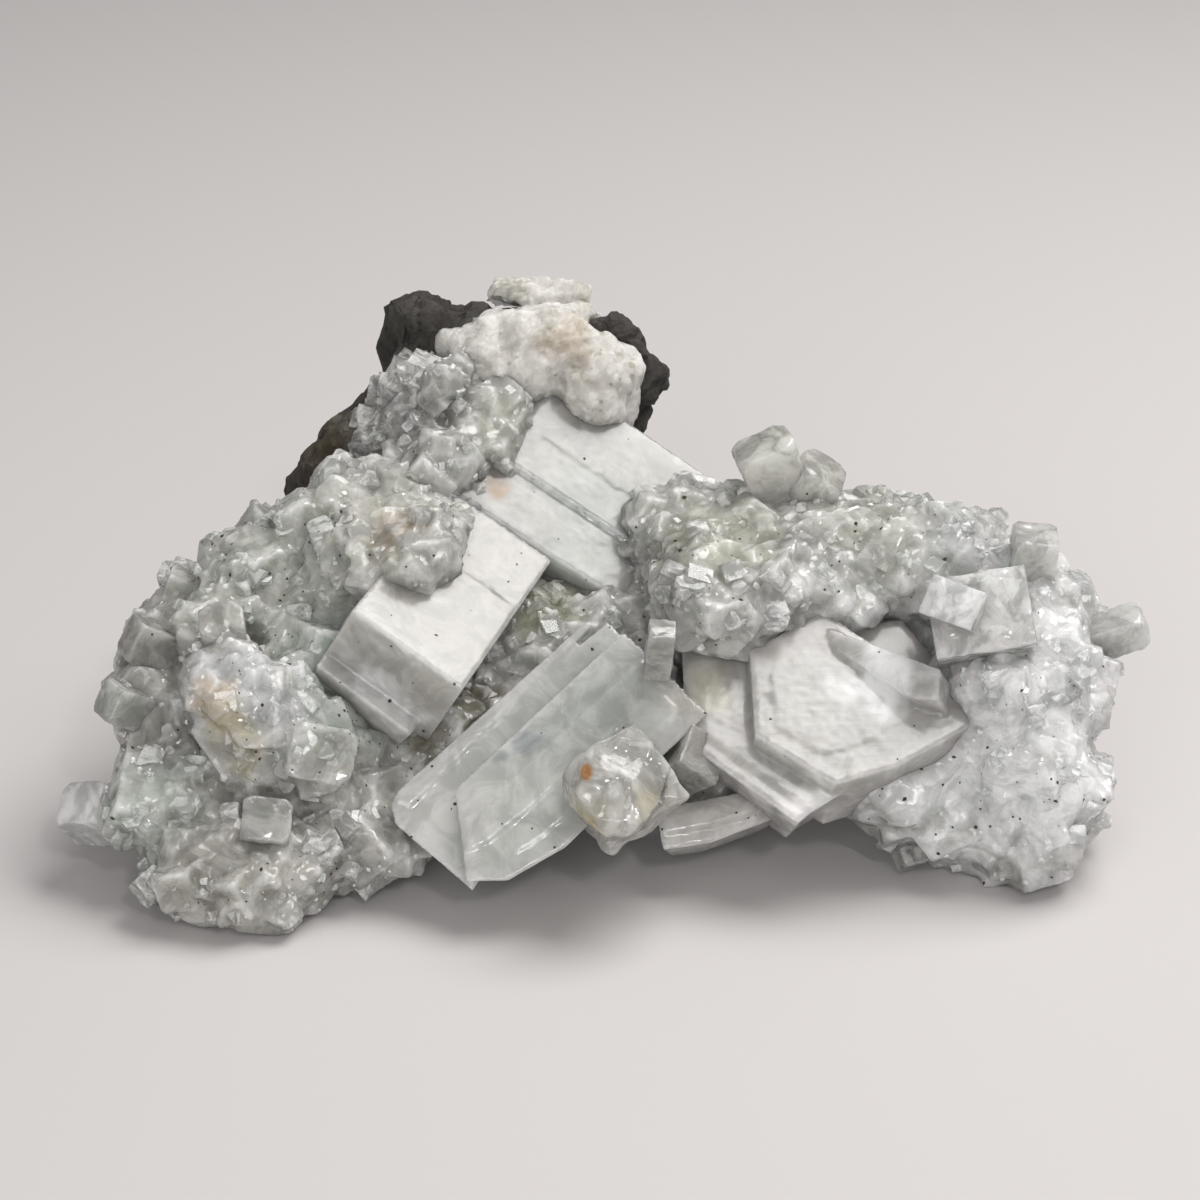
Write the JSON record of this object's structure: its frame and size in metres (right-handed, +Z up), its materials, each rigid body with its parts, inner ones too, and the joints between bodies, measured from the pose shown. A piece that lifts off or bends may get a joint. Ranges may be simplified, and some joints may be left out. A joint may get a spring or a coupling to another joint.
{
  "type": "apophyllite crystal cluster",
  "caption": "Cluster of glassy blocky apophyllite crystals and small druse on dark basalt with a white zeolite crust, standing on two wings and a rear heel.",
  "frame": {"origin": "middle of the bounding box at the table", "axes": "+X along the cluster's length to the right, +Y away from the viewer, +Z up"},
  "size_m": [0.105, 0.0598, 0.0474],
  "materials": {
    "basalt": "rough, broken, with small pits",
    "crust": "white, sugary, stained beige in places",
    "apophyllite": "glassy to pearly, clouded inside, pale green to colourless"
  },
  "bodies": {
    "root": {"basalt_matrix": "basalt", "white_crust": "crust", "apophyllite_crystals": "apophyllite"}
  },
  "joints": []
}
